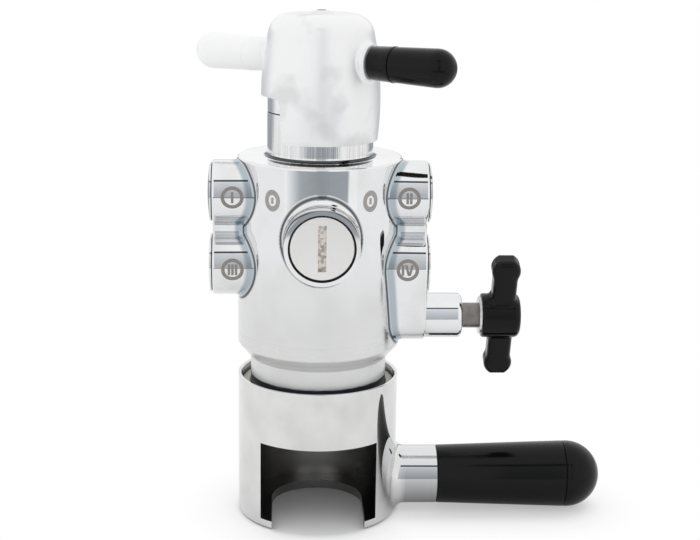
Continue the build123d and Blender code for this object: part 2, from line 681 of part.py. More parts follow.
def valve_rotor():
    """The bored plug that the head turns; its side ports meet the line ports at the end of the travel."""
    radius = ROTOR_BORE_R - RUNNING_GAP
    profile = [(0, ROTOR_FLOOR + SLIDING_GAP), (radius, ROTOR_FLOOR + SLIDING_GAP, 0.5)]
    half_groove = O_RING_SECTION_R + SEAT_GAP
    groove_floor = radius - 2 * O_RING_SECTION_R - SEAT_GAP
    for place in ROTOR_SEAL_PLACES:
        profile.append((radius, place - half_groove))
        profile.append((groove_floor, place - half_groove))
        profile.append((groove_floor, place + half_groove))
        profile.append((radius, place + half_groove))
    profile.append((radius, ROTOR_SHOULDER, 0.5))
    profile.append((STEM_R, ROTOR_SHOULDER))
    profile.append((STEM_R, DRIVE_LOW))
    profile.append((DRIVE_R, DRIVE_LOW))
    profile.append((DRIVE_R, DRIVE_TOP, 0.4))
    profile.append((0, DRIVE_TOP))
    rotor = turned(*profile)
    flats = Rectangle(2 * DRIVE_FLAT, 3 * DRIVE_R)
    keep = Pos(0, 0, DRIVE_LOW) * extrude(flats, DRIVE_TOP - DRIVE_LOW)
    drive_zone = ring(DRIVE_R + 1, 0, DRIVE_LOW, DRIVE_TOP + 1)
    rotor -= Rot(0, 0, HEAD_TURN) * (drive_zone - keep)
    rotor -= rod(ROTOR_BORE_IN_R, (0, 0, ROTOR_FLOOR - 1), (0, 0, UPPER_BOSS_Z))
    port_turn = degrees(asin(-BOSS_Y / ROTOR_BORE_R))
    ports = [(90 - HEAD_TRAVEL, REGULATOR_Z), (HEAD_TRAVEL - 90, REGULATOR_Z)]
    for height in (UPPER_BOSS_Z, LOWER_BOSS_Z):
        ports.append((HEAD_TRAVEL - port_turn, height))
        ports.append((HEAD_TRAVEL + 180 + port_turn, height))
    for turn, height in ports:
        rotor -= rod(ROTOR_PORT_R, (0, 0, height), heading(turn, ROTOR_BORE_R + 1, height))
    rotor -= rod(SCREW_R + SEAT_GAP, (0, 0, CAP_TOP - SCREW_DEPTH - 1), (0, 0, DRIVE_TOP + 1))
    return rotor.solid()


def rotor_seals():
    centre_r = ROTOR_BORE_R - RUNNING_GAP - O_RING_SECTION_R
    rings = [Pos(0, 0, place) * Torus(centre_r, O_RING_SECTION_R) for place in ROTOR_SEAL_PLACES]
    return Compound(children=[o_ring.solid() for o_ring in rings])


def rotor_washer():
    low = ROTOR_SHOULDER + RUNNING_GAP
    return ring(ROTOR_BORE_R - 2 * SLIDING_GAP, STEM_R + 2 * SLIDING_GAP, low, BONNET_FLOOR)


def bonnet_gasket():
    return ring(UPPER_NECK_R - 0.5, BONNET_BORE_R + SLIDING_GAP, SEAM_Z, SEAM_Z + BONNET_LIP_GAP)


def bonnet_nut():
    return turned(
        (STEM_R + RUNNING_GAP, BONNET_FLOOR),
        (BONNET_BORE_R - SEAT_GAP, BONNET_FLOOR),
        (BONNET_BORE_R - SEAT_GAP, SEAM_Z + BONNET_LIP_GAP),
        (UPPER_NECK_R - 0.1, SEAM_Z + BONNET_LIP_GAP, 0.2),
        (UPPER_NECK_R - 0.1, BONNET_NUT_TOP, 1.0),
        (STEM_R + RUNNING_GAP, BONNET_NUT_TOP),
    )


def stop_pin():
    start = heading(STOP_TURN, UPPER_NECK_R - STOP_PIN_SEAT, STOP_PIN_Z)
    end = heading(STOP_TURN, UPPER_NECK_R + STOP_PIN_REACH, STOP_PIN_Z)
    return rod(STOP_PIN_R, start, end)


def cap_outside():
    """One bowed wall from the skirt to the crown, rounded over at the top."""
    foot = (CAP_LOW_R, CAP_LOW)
    crown = (CAP_LOW_R - CAP_TUCK, CAP_TOP)
    wall = ThreePointArc(foot, (CAP_BELLY_R, CAP_LOW + CAP_BELLY_RISE), crown)
    face = (Plane.XZ * make_face(wall + Polyline(crown, (0, CAP_TOP), (0, CAP_LOW), foot))).face()
    outer_top = [v for v in face.vertices() if v.X > 1 and v.Z > CAP_TOP - 0.01]
    return revolve(face.fillet_2d(CAP_TOP_ROUND, outer_top), Axis.Z)


def stop_window():
    """The sector that is cut from the skirt for the stop pin; its two upper corners are rounded."""
    half_window = HEAD_TRAVEL + STOP_PLAY + degrees(asin(STOP_PIN_R / UPPER_NECK_R))
    far = 3 * CAP_BELLY_R
    corners = [(0, 0, 0), heading(180 - half_window, far, 0), (-far, far, 0)]
    corners += [(-far, -far, 0), heading(180 + half_window, far, 0)]
    height = SKIRT_STEP_RISE + 1
    sector = extrude(make_face(Polyline(*corners, close=True)), height, dir=(0, 0, 1)).solid()
    upper = [edge for edge in sector.edges() if edge.distance_to(Vertex(0, 0, height)) < 0.01]
    corners = [edge for edge in upper if (edge @ 0.5).Z > height - 0.01]
    return Pos(0, 0, CAP_LOW - 1) * sector.fillet(SKIRT_CORNER_R, corners)


def turning_cap():
    """The hollow cap: a skirt with a stop window under the white lever and a boss for each lever."""
    shell = cap_outside()
    for turn in (0, 180):
        boss = rod(LEVER_BOSS_R, (0, 0, LEVER_Z), heading(turn, LEVER_BOSS_END, LEVER_Z))
        shell = join_with_fillet(shell, boss, LEVER_BOSS_FILLET)
    shell -= ring(CAP_CAVITY_R, 0, CAP_LOW - 1, CAP_CAVITY_TOP)
    shell -= stop_window()
    socket = Circle(DRIVE_R + SEAT_GAP) & Rectangle(2 * (DRIVE_FLAT + SEAT_GAP), 3 * DRIVE_R)
    shell -= Pos(0, 0, CAP_CAVITY_TOP - 1) * extrude(socket, DRIVE_TOP + THREAD_GAP - CAP_CAVITY_TOP + 1)
    shell -= rod(SCREW_R + SLIDING_GAP, (0, 0, DRIVE_TOP), (0, 0, CAP_TOP + 1))
    for turn in (0, 180):
        hole_floor = heading(turn, LEVER_STUD_INNER - 0.5, LEVER_Z)
        shell -= rod(LEVER_STUD_R + SEAT_GAP, hole_floor, heading(turn, LEVER_BOSS_END + 1, LEVER_Z))
    return (Rot(0, 0, HEAD_TURN) * shell).solid()


def cap_screw():
    shank = rod(SCREW_R, (0, 0, CAP_TOP - SCREW_DEPTH), (0, 0, CAP_TOP))
    head = dome(SCREW_HEAD_R, SCREW_HEAD_HEIGHT, CAP_TOP)
    hexagon = extrude(RegularPolygon(SCREW_SOCKET_R, 6), SCREW_HEAD_HEIGHT)
    return shank + head - Pos(0, 0, CAP_TOP + SCREW_HEAD_HEIGHT - SCREW_SOCKET_DEPTH) * hexagon


def lever_grip(turn):
    """One tapered plastic lever grip with a round end, along the heading turn."""
    start = LEVER_BOSS_END + GRIP_FACE_GAP
    grip = round_ended_grip(LEVER_ROOT_R, LEVER_TIP_R, start, LEVER_END, 0.5)
    grip -= rod(LEVER_STUD_R + SEAT_GAP, (0, 0, start - 1), (0, 0, LEVER_STUD_OUTER + 0.5))
    return facing(grip, (0, 0, LEVER_Z), heading(turn, 1, 0))


def lever_studs():
    studs = []
    for turn in (HEAD_TURN, HEAD_TURN + 180):
        inner_end = heading(turn, LEVER_STUD_INNER, LEVER_Z)
        studs.append(rod(LEVER_STUD_R, inner_end, heading(turn, LEVER_STUD_OUTER, LEVER_Z)).solid())
    return Compound(children=studs)


def clamping_bell():
    """The bell that lifts the bottle: a window and a neck slot in front, a handle arm at the right."""
    blank_low = -2 * ARM_ROOT_FILLET
    blank = turned((0, blank_low), (BELL_R, blank_low), (BELL_R, BELL_TOP, 0.3), (0, BELL_TOP))
    arm = rod(ARM_R, (0, 0, ARM_Z), (ARM_END, 0, ARM_Z))
    shell = join_with_fillet(blank, arm, ARM_ROOT_FILLET)
    shell -= turned(
        (0, blank_low - 1),
        (ARM_END, blank_low - 1),
        (ARM_END, BELL_EDGE),
        (BELL_R, BELL_EDGE),
        (BELL_R - BELL_EDGE, 0),
        (0, 0),
    )
    shell -= turned(
        (0, FLANGE_THICKNESS),
        (CAVITY_R, FLANGE_THICKNESS),
        (CAVITY_R, CAVITY_TOP),
        (THREAD_BORE_R, CAVITY_TOP),
        (THREAD_BORE_R, RING_SEAT_Z),
        (MOUTH_R, RING_SEAT_Z),
        (MOUTH_R, BELL_TOP - MOUTH_CHAMFER),
        (MOUTH_R + MOUTH_CHAMFER, BELL_TOP),
        (MOUTH_R + MOUTH_CHAMFER, BELL_TOP + 1),
        (0, BELL_TOP + 1),
    )
    window_height = WINDOW_TOP - FLANGE_THICKNESS
    window = Box(WINDOW_WIDTH, 2 * BELL_R, window_height, align=(Align.CENTER, Align.MAX, Align.MIN))
    shell -= Pos(0, -CAVITY_R / 3, FLANGE_THICKNESS) * window
    cut_height = 3 * FLANGE_THICKNESS
    slot = Pos(0, -BELL_R, 0) * Box(NECK_SLOT_WIDTH, 2 * BELL_R, cut_height)
    shell -= slot + Cylinder(NECK_SLOT_WIDTH / 2, cut_height)
    shell -= rod(STUD_R + SEAT_GAP, (ARM_END - STUD_DEPTH_IN_ARM - 0.5, 0, ARM_Z), (ARM_END + 1, 0, ARM_Z))
    return shell.solid()


def bell_grip():
    start = ARM_END + GRIP_FACE_GAP
    grip = round_ended_grip(ARM_R, GRIP_TIP_R, start, GRIP_END, 0.6)
    grip -= rod(STUD_R + SEAT_GAP, (0, 0, start - 1), (0, 0, ARM_END + STUD_DEPTH_IN_GRIP + 0.5))
    return facing(grip, (0, 0, ARM_Z), (1, 0, 0))


def bell_stud():
    return rod(STUD_R, (ARM_END - STUD_DEPTH_IN_ARM, 0, ARM_Z), (ARM_END + STUD_DEPTH_IN_GRIP, 0, ARM_Z))


def guide_ring():
    low = RING_SEAT_Z + SLIDING_GAP
    return turned(
        (NECK_R + 2 * SLIDING_GAP, low),
        (MOUTH_R - 2 * SLIDING_GAP, low),
        (MOUTH_R - 2 * SLIDING_GAP, low + GUIDE_RING_HEIGHT, 0.5),
        (NECK_R + 2 * SLIDING_GAP, low + GUIDE_RING_HEIGHT, 0.5),
    )


def bleed_spindle():
    profile = [
        (0, BLEED_BORE_FLOOR + SLIDING_GAP),
        (BLEED_SEAT_R + 0.6, BLEED_BORE_FLOOR + SLIDING_GAP),
        (SPINDLE_R, BLEED_BORE_FLOOR + SPINDLE_R / 2 + SLIDING_GAP),
    ]
    half_groove = O_RING_SECTION_R + SEAT_GAP
    for place in BLEED_SEAL_PLACES:
        profile.append((SPINDLE_R, place - half_groove))
        profile.append((BLEED_SEAL_FLOOR, place - half_groove))
        profile.append((BLEED_SEAL_FLOOR, place + half_groove))
        profile.append((SPINDLE_R, place + half_groove))
    profile.append((SPINDLE_R, INSERT_LOW + INSERT_DEPTH - 1))
    profile.append((0, INSERT_LOW + INSERT_DEPTH - 1))
    return facing(turned(*profile), (0, BOSS_Y, BLEED_Z), (1, 0, 0))


def bleed_seals():
    centre_r = SPINDLE_R - O_RING_SECTION_R
    o_ring = Torus(centre_r, O_RING_SECTION_R)
    rings = [facing(o_ring, (place, BOSS_Y, BLEED_Z), (1, 0, 0)) for place in BLEED_SEAL_PLACES]
    return Compound(children=[placed.solid() for placed in rings])


def knob_insert():
    """The metal bush that is moulded into the wing knob."""
    bush = turned(
        (SPINDLE_R + SEAT_GAP, INSERT_LOW),
        (INSERT_R, INSERT_LOW, 0.4),
        (INSERT_R, INSERT_LOW + INSERT_DEPTH),
        (0, INSERT_LOW + INSERT_DEPTH),
        (0, INSERT_LOW + INSERT_DEPTH - 1),
        (SPINDLE_R + SEAT_GAP, INSERT_LOW + INSERT_DEPTH - 1),
    )
    return facing(bush, (0, BOSS_Y, BLEED_Z), (1, 0, 0))


def wing_knob():
    """A moulded knob: a round hub along X with two thumb wings, each waisted below its round tip."""
    hub = turned(
        (0, KNOB_LOW),
        (KNOB_HUB_R, KNOB_LOW, 1.0),
        (KNOB_HUB_R, KNOB_LOW + KNOB_LENGTH, KNOB_EDGE),
        (0, KNOB_LOW + KNOB_LENGTH),
    )
    hub = facing(hub, (0, 0, 0), (1, 0, 0))
    tip_place = WING_REACH + WING_TIP_FLAT - WING_TIP_R
    outline = Rectangle(WING_WAIST, 2 * tip_place)
    for end in (-1, 1):
        outline += Pos(0, end * tip_place) * Circle(WING_TIP_R)
    inner = [v for v in outline.vertices() if abs(v.Y) < tip_place + 0.01]
    outline = outline.face().fillet_2d(WING_BLEND, inner) & Rectangle(3 * WING_TIP_R, 2 * WING_REACH)
    wings = extrude(Plane.XZ * (Pos(KNOB_LOW + WING_PLACE, 0) * outline), WING_THICKNESS / 2, both=True)
    flat_edges = [edge for edge in wings.edges() if abs(abs((edge @ 0.5).Y) - WING_THICKNESS / 2) < 0.01]
    wings = wings.solid().fillet(WING_EDGE, flat_edges)
    knob = join_with_fillet(hub.solid(), wings, WING_ROOT_FILLET)
    knob -= rod(INSERT_R + SEAT_GAP, (KNOB_LOW - 1, 0, 0), (INSERT_LOW + INSERT_DEPTH + SEAT_GAP, 0, 0))
    knob = Rot(KNOB_REST_TURN, 0, 0) * knob
    return Pos(0, BOSS_Y, BLEED_Z) * knob


def write(name, shape):
    export_step(shape, f"parts/{name}.step")


def main():
    os.makedirs("parts", exist_ok=True)
    write("body_casting", body_casting())
    for number in LINES:
        write(f"end_plug_{number}", end_plug(number))
        write(f"check_cartridge_{number}", check_cartridge(number))
        write(f"check_membrane_{number}", check_membrane(number))
        write(f"inlet_tail_{number}", inlet_tail(number))
    write("end_plug_seals", end_plug_seals())
    write("inlet_washers", inlet_washers())
    write("flow_regulator", flow_regulator())
    write("regulator_face_seal", regulator_face_seal())
    write("regulator_stem_seal", regulator_stem_seal())
    write("mounting_shank", mounting_shank())
    write("shank_washer", shank_washer())
    write("shank_nut", shank_nut())
    write("bottle_seal", bottle_seal())
    write("filling_nozzle", filling_nozzle())
    write("valve_rotor", valve_rotor())
    write("rotor_seals", rotor_seals())
    write("rotor_washer", rotor_washer())
    write("bonnet_gasket", bonnet_gasket())
    write("bonnet_nut", bonnet_nut())
    write("stop_pin", stop_pin())
    write("turning_cap", turning_cap())
    write("cap_screw", cap_screw())
    write("black_lever_grip", lever_grip(HEAD_TURN))
    write("white_lever_grip", lever_grip(HEAD_TURN + 180))
    write("lever_studs", lever_studs())
    write("clamping_bell", clamping_bell())
    write("bell_grip", bell_grip())
    write("bell_stud", bell_stud())
    write("guide_ring", guide_ring())
    write("bleed_spindle", bleed_spindle())
    write("bleed_seals", bleed_seals())
    write("knob_insert", knob_insert())
    write("wing_knob", wing_knob())


main()
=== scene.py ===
import math

import bmesh
import bpy
from mathutils import Matrix, Vector


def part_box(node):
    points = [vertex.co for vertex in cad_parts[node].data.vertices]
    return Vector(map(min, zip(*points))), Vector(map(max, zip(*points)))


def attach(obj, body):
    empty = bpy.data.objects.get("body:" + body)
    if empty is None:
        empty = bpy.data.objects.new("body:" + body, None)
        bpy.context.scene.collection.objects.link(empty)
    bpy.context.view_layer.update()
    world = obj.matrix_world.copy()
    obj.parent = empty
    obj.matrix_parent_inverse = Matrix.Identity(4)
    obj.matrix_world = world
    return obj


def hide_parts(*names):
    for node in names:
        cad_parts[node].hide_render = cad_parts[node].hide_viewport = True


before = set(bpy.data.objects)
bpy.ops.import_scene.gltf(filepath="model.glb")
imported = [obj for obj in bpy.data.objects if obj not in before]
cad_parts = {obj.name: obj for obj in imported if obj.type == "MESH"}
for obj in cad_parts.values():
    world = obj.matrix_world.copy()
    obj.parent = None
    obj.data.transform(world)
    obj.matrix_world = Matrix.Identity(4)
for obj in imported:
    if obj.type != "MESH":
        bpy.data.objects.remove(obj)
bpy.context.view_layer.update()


# Valve casting: brass, turned and polished, then chrome plated. Bosses and upper barrel are a mirror with the
# faint waves of hand polishing, and the barrel grows satin towards its foot. The upper neck, on which the cap
# turns, is left brushed, and the lower neck has the fine rings of its last cut.
class Socket:
    """One output of a shader node, which takes part in sums."""

    def __init__(self, shader, output):
        self.shader = shader
        self.output = output

    def maths(self, operation, first, second=0.0):
        return self.shader.node("ShaderNodeMath", {"operation": operation}, {0: first, 1: second})

    def __add__(self, other):
        return self.maths("ADD", self, other)

    def __radd__(self, other):
        return self.maths("ADD", other, self)

    def __sub__(self, other):
        return self.maths("SUBTRACT", self, other)

    def __rsub__(self, other):
        return self.maths("SUBTRACT", other, self)

    def __mul__(self, other):
        return self.maths("MULTIPLY", self, other)

    def __rmul__(self, other):
        return self.maths("MULTIPLY", other, self)

    def __truediv__(self, other):
        return self.maths("DIVIDE", self, other)

    def __gt__(self, other):
        return self.maths("GREATER_THAN", self, other)

    def __lt__(self, other):
        return self.maths("LESS_THAN", self, other)

    def __abs__(self):
        return self.maths("ABSOLUTE", self)

    def least(self, other):
        return self.maths("MINIMUM", self, other)


class Shader:
    """The node tree of one finish, or of the studio's light."""

    def __init__(self, tree, surface):
        self.tree = tree
        self.surface = tree.nodes[surface]

    def node(self, kind, settings={}, inputs={}, output=0):
        made = self.tree.nodes.new(kind)
        for name, value in settings.items():
            if name == "stops":
                self.set_stops(made.color_ramp, value)
            else:
                setattr(made, name, value)
        for name, value in inputs.items():
            self.put(made.inputs[name], value)
        return Socket(self, made.outputs[output])

    def set_stops(self, ramp, stops):
        while len(ramp.elements) < len(stops):
            ramp.elements.new(0.5)
        for element, (place, tone) in zip(ramp.elements, stops):
            element.position = place
            element.color = (*tone, 1) if isinstance(tone, tuple) else (tone, tone, tone, 1)

    def put(self, place, value):
        if isinstance(value, Socket):
            self.tree.links.new(value.output, place)
        elif isinstance(value, tuple) and place.type == "RGBA":
            place.default_value = (*value, 1)
        else:
            place.default_value = value

    def finish(self, **values):
        for name, value in values.items():
            self.put(self.surface.inputs[name.replace("_", " ")], value)

    def place(self):
        return self.node("ShaderNodeTexCoord", output="Object")

    def xyz(self, vector):
        return [self.node("ShaderNodeSeparateXYZ", {}, {0: vector}, axis) for axis in "XYZ"]

    def vector(self, x, y, z):
        return self.node("ShaderNodeCombineXYZ", {}, {"X": x, "Y": y, "Z": z})

    def heading(self, across, along):
        """The turn round the upright axis, in radians."""
        return self.node("ShaderNodeMath", {"operation": "ARCTAN2"}, {0: across, 1: along})

    def from_axis(self, x, y):
        """How far a place lies from the upright axis."""
        place = self.vector(x, y, 0)
        return self.node("ShaderNodeVectorMath", {"operation": "LENGTH"}, {0: place}, "Value")

    def ray(self, kind):
        return self.node("ShaderNodeLightPath", output=f"Is {kind} Ray")

    def noise(self, size, detail=2.0, stretch=(1, 1, 1), at=None):
        """Noise with spots of the given size in metres, drawn out along an axis by a small stretch."""
        spot = self.node("ShaderNodeMapping", {}, {"Vector": at or self.place(), "Scale": stretch})
        return self.node("ShaderNodeTexNoise", {}, {"Vector": spot, "Scale": 1 / size, "Detail": detail})

    def ramp(self, value, *stops):
        return self.node("ShaderNodeValToRGB", {"stops": stops}, {"Fac": value})

    def clamped(self, value):
        return self.node("ShaderNodeClamp", {}, {"Value": value})

    def mix(self, share, first, second):
        colours = {"data_type": "RGBA"}
        return self.node("ShaderNodeMix", colours, {"Factor": share, 6: first, 7: second}, output=2)

    def bump(self, height, strength, distance, over=None):
        sockets = {"Height": height, "Strength": strength, "Distance": distance}
        if over:
            sockets["Normal"] = over
        return self.node("ShaderNodeBump", {}, sockets)


def new_finish(name):
    material = bpy.data.materials.new(name)
    material.use_nodes = True
    return material, Shader(material.node_tree, "Principled BSDF")


def dress(material, *nodes):
    """Gives CAD nodes their finish."""
    for node in nodes:
        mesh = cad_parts[node].data
        mesh.materials.clear()
        mesh.materials.append(material)


CHROME = (0.80, 0.805, 0.815)
CHROME_WORN = (0.73, 0.73, 0.73)
CHROME_SATIN = (0.68, 0.68, 0.68)
NECK_DULL = (0.66, 0.66, 0.66)
NECK_BRIGHT = (0.86, 0.86, 0.86)
GROOVE_PAINTED_SHADE = (0.07, 0.075, 0.08)
HOLLOW_PAINTED_SHADE = (0.42, 0.48, 0.52)
HOLLOW_EDGE_PAINTED_SHADE = (0.10, 0.11, 0.12)
HOLLOW_REACH = 0.005
MOUTH_PAINTED_SHADE = (0.025, 0.03, 0.04)
MOUTH_SHADE_TOP = 0.0604
MOUTH_BLEND = 0.0006
UPPER_NECK_HEIGHT = 0.0165
NECK_GROOVE_HEIGHT = 0.0182
LOWER_NECK_TOP = 0.070
FROSTED_BELOW = 0.0795
FROSTED_BLEND = 0.003
SATIN_BELOW = 0.118
SATIN_BLEND = 0.03
BARREL_R = 0.0331
BARREL_SKIN = 0.0005
UPPER_NECK_WITHIN = 0.68 * BARREL_R
HOLLOWS_FROM_X = 0.7 * BARREL_R

casting_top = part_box("body_casting")[1][2]
casting_chrome, casting = new_finish("casting_chrome")
x, y, z = casting.xyz(casting.place())
from_axis = casting.from_axis(x, y)
brushed = z > casting_top - UPPER_NECK_HEIGHT
ringed = z < LOWER_NECK_TOP
in_groove = (z > casting_top - NECK_GROOVE_HEIGHT) * (1 - brushed) * (from_axis < UPPER_NECK_WITHIN)
beside = abs(x) > HOLLOWS_FROM_X
satin = casting.clamped((SATIN_BELOW - z) / SATIN_BLEND) * (from_axis < BARREL_R + BARREL_SKIN)
frosted = casting.clamped((FROSTED_BELOW - z) / FROSTED_BLEND)
out_of_barrel = (from_axis - BARREL_R) / HOLLOW_REACH
in_hollow = beside * casting.ramp(out_of_barrel, (0.08, 0), (0.16, 1), (0.5, 1), (0.72, 0))
at_hollow_edge = casting.ramp(out_of_barrel, (0.0, 0), (0.02, 1), (0.06, 1), (0.13, 0))
# Below the top of the bell's mouth the casting is painted near-black, with a ragged edge: painted shade of
# the bell's dark inside.
mouth_spots = casting.noise(0.004, 2.0, (1, 1, 6))
in_mouth = casting.clamped((MOUTH_SHADE_TOP - z) / MOUTH_BLEND + mouth_spots - 0.5)
round_the_axis = casting.heading(y, x)
upright_lines = casting.noise(0.02, 3.0, at=casting.vector(round_the_axis, 0, 0.35 * z))
cut_rings = casting.noise(0.0012, 4.0, at=casting.vector(0, 0, z))
polish = casting.noise(0.012, 3.0)
smudges = casting.noise(0.016, 4.0)
waves = casting.bump(casting.noise(0.010, 1.5), 0.12, 0.0001)
brush = casting.bump(upright_lines * brushed, 0.45, 0.00008, waves)
rings = casting.bump(cut_rings * ringed, 0.25, 0.00004, brush)
plating = casting.ramp(smudges, (0.3, CHROME_WORN), (0.55, CHROME))
plating = casting.mix(satin * casting.ramp(smudges, (0.35, 1), (0.6, 0.7)), plating, CHROME_SATIN)
# In the hollows beside the bosses the plating is painted blue-grey, with a near-black line where the fillets
# leave the barrel: painted shade.
plating_with_painted_shade = casting.mix(at_hollow_edge, casting.mix(in_hollow, plating, HOLLOW_PAINTED_SHADE), HOLLOW_EDGE_PAINTED_SHADE)
neck_tone = casting.ramp(upright_lines, (0.35, NECK_DULL), (0.65, NECK_BRIGHT))
# The groove at the foot of the upper neck, under the cap's skirt, is painted near-black: painted shade.
neck_and_body = casting.mix(in_groove, casting.mix(brushed, plating_with_painted_shade, neck_tone), GROOVE_PAINTED_SHADE)
casting_roughness = 0.025 + 0.04 * polish + 0.12 * brushed * upright_lines
casting_roughness += satin * (0.10 + 0.12 * smudges)
casting_roughness += 0.12 * ringed
casting.finish(
    Base_Color=casting.mix(in_mouth, neck_and_body, MOUTH_PAINTED_SHADE),
    Metallic=1 - 0.65 * frosted,
    Roughness=casting_roughness,
    Normal=rings,
)
dress(casting_chrome, "body_casting")


# Marks on the casting, etched by laser, so they are matt and brown-grey. Each line boss has its number in a
# ring. A zero, etched less deep and paler, stands beside the bosses on each side for the closed lever.
MARK_RISE = 0.00003
RING_OUTER = 0.0045
RING_INNER = 0.0031
BAR_WIDTH = 0.0010
BAR_HEIGHT = 0.0044
BAR_STEP = 0.0014
BOSS_MARK_FROM_END = 0.0085
LINE_BOSS_R = 0.0128
LEG_SLOPE = math.radians(7.9)
ZERO_TURN = 35.2
ZERO_RISE = 0.0002
ZERO_OUTER = 0.0035
ZERO_INNER = 0.52 * ZERO_OUTER
ZERO_BAR = 0.7 * ZERO_OUTER
ZERO_STRETCH = 1.22
BEND_STEP = 0.0005
BEND_STEPS = 9


def new_piece(name, build, material, body):
    """Ends a piece: its mesh, its finish, and the CAD body that it rides on."""
    mesh = bpy.data.meshes.new(name)
    build.to_mesh(mesh)
    build.free()
    mesh.materials.append(material)
    piece = bpy.data.objects.new(name, mesh)
    bpy.context.scene.collection.objects.link(piece)
    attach(piece, body)
    return piece


def flat_ring(build, outer, inner, stretch=1.0):
    """The ring of a mark, between two rims."""
    rims = []
    for radius in (outer, inner):
        rim = bmesh.ops.create_circle(build, segments=48, radius=radius)["verts"]
        bmesh.ops.scale(build, vec=(1, stretch, 1), verts=rim)
        rims += {edge for vert in rim for edge in vert.link_edges}
    bmesh.ops.bridge_loops(build, edges=rims)


def flat_bar(build, across, lean=0.0, height=BAR_HEIGHT):
    """One upright stroke of a numeral; lean shifts its top sideways."""
    corners = bmesh.ops.create_grid(build, x_segments=1, y_segments=1, size=0.5)["verts"]
    bmesh.ops.scale(build, vec=(BAR_WIDTH, height, 1), verts=corners)
    for corner in corners:
        corner.co.x += across + lean * corner.co.y / height


def wrap_round_x(build, radius, centre, lowest_turn):
    """Lays a flat mark on the front of a cylinder along X, and straight on below the lowest turn."""
    cut_for_bending(build, (0, 1, 0))
    for vert in build.verts:
        turn = max(vert.co.y / radius, lowest_turn)
        past = vert.co.y - turn * radius
        front = (radius + MARK_RISE) * math.cos(turn) - past * math.sin(turn)
        rise = (radius + MARK_RISE) * math.sin(turn) + past * math.cos(turn)
        vert.co = Vector((vert.co.x, -front, rise)) + centre


def wrap_round_z(build, radius, centre, heading):
    """Lays a flat mark on the front of the barrel, turned by heading from the front."""
    cut_for_bending(build, (1, 0, 0))
    for vert in build.verts:
        turn = vert.co.x / radius + heading
        across = (radius + MARK_RISE) * math.sin(turn)
        front = (radius + MARK_RISE) * math.cos(turn)
        vert.co = Vector((across, -front, vert.co.y)) + centre


def cut_for_bending(build, across):
    """Cuts a flat mark into narrow strips, so that it can follow a round surface."""
    direction = Vector(across)
    for step in range(-BEND_STEPS, BEND_STEPS + 1):
        geometry = build.verts[:] + build.edges[:] + build.faces[:]
        cut = direction * step * BEND_STEP
        bmesh.ops.bisect_plane(build, geom=geometry, plane_co=cut, plane_no=direction, dist=1e-7)


def thicken(build):
    """Makes a flat mark a thin plate."""
    bmesh.ops.recalc_face_normals(build, faces=build.faces)
    bmesh.ops.solidify(build, geom=build.faces[:], thickness=-MARK_RISE)


def etched_finish(name, deep, shallow):
    material, etched = new_finish(name)
    etch_grain = etched.noise(0.0003, 2.0)
    etched.finish(
        Base_Color=etched.ramp(etch_grain, (0.3, deep), (0.7, shallow)),
        Metallic=0.25,
        Roughness=0.55 + 0.2 * etch_grain,
    )
    return material


etched_number = etched_finish("etched_number", (0.21, 0.195, 0.185), (0.31, 0.29, 0.275))
etched_zero = etched_finish("etched_zero", (0.31, 0.30, 0.29), (0.42, 0.40, 0.385))

LEG_LINE = 4
NUMERALS = {
    1: [(0, 0)],
    2: [(-0.5, 0), (0.5, 0)],
    3: [(-1, 0), (0, 0), (1, 0)],
    4: [(-1.35, 0), (-0.05, -0.8), (0.95, 0.8)],
}
boss_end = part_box("end_plug_seals")[1][0]
for number, strokes in NUMERALS.items():
    build = bmesh.new()
    flat_ring(build, RING_OUTER, RING_INNER)
    for across, lean in strokes:
        flat_bar(build, across * BAR_STEP, lean * BAR_STEP)
    plug_low, plug_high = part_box(f"end_plug_{number}")
    side = 1 if plug_low[0] > 0 else -1
    middle = (Vector(plug_low) + Vector(plug_high)) / 2
    centre = Vector((side * (boss_end - BOSS_MARK_FROM_END), middle.y, middle.z))
    wrap_round_x(build, LINE_BOSS_R, centre, -LEG_SLOPE if number == LEG_LINE else -math.pi)
    thicken(build)
    new_piece(f"line_number_{number}", build, etched_number, "body")

plug_low, plug_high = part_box("end_plug_1")
zero_centre = Vector((0, 0, (plug_low[2] + plug_high[2]) / 2 + ZERO_RISE))
for side, name in ((-1, "left"), (1, "right")):
    build = bmesh.new()
    flat_ring(build, ZERO_OUTER, ZERO_INNER, ZERO_STRETCH)
    flat_bar(build, 0, 0, ZERO_BAR)
    wrap_round_z(build, BARREL_R, zero_centre, side * math.radians(ZERO_TURN))
    thicken(build)
    new_piece(f"zero_mark_{name}", build, etched_zero, "body")


# Bonnet nut, cap screw, end plugs and the shank's nut and washer: turned from brass bar and chrome plated.
# The marks of the last cut still show a little in the reflections.
fittings_chrome, fittings = new_finish("fittings_chrome")
fitting_smudges = fittings.noise(0.008, 3.0)
fittings.finish(
    Base_Color=fittings.ramp(fitting_smudges, (0.3, CHROME_WORN), (0.6, CHROME)),
    Metallic=1.0,
    Roughness=0.08 + 0.10 * fitting_smudges,
    Normal=fittings.bump(fittings.noise(0.0007, 3.0), 0.08, 0.00003),
)
dress(fittings_chrome, "bonnet_nut", "shank_nut", "shank_washer", "cap_screw")
dress(fittings_chrome, *(f"end_plug_{number}" for number in range(1, 5)))


# Turning cap: a chrome plated brass casting, blasted before it was plated, so that it shines softly and the
# tent shows in it only as pale patches. Grey patches of painted reflection are laid into its colour, more of
# them towards its foot.
CAP_PALE = (0.88, 0.88, 0.885)
CAP_PAINTED_REFLECTION = (0.70, 0.705, 0.705)
cap_low, cap_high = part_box("turning_cap")
cap_satin, cap = new_finish("cap_satin")
cap_height = (cap.xyz(cap.place())[2] - cap_low[2]) / (cap_high[2] - cap_low[2])
cap_cloud = cap.noise(0.013, 2.5)
cap_grain = cap.noise(0.0006, 2.0)
low_down = cap.ramp(cap_height, (0.1, 1), (0.6, 0))
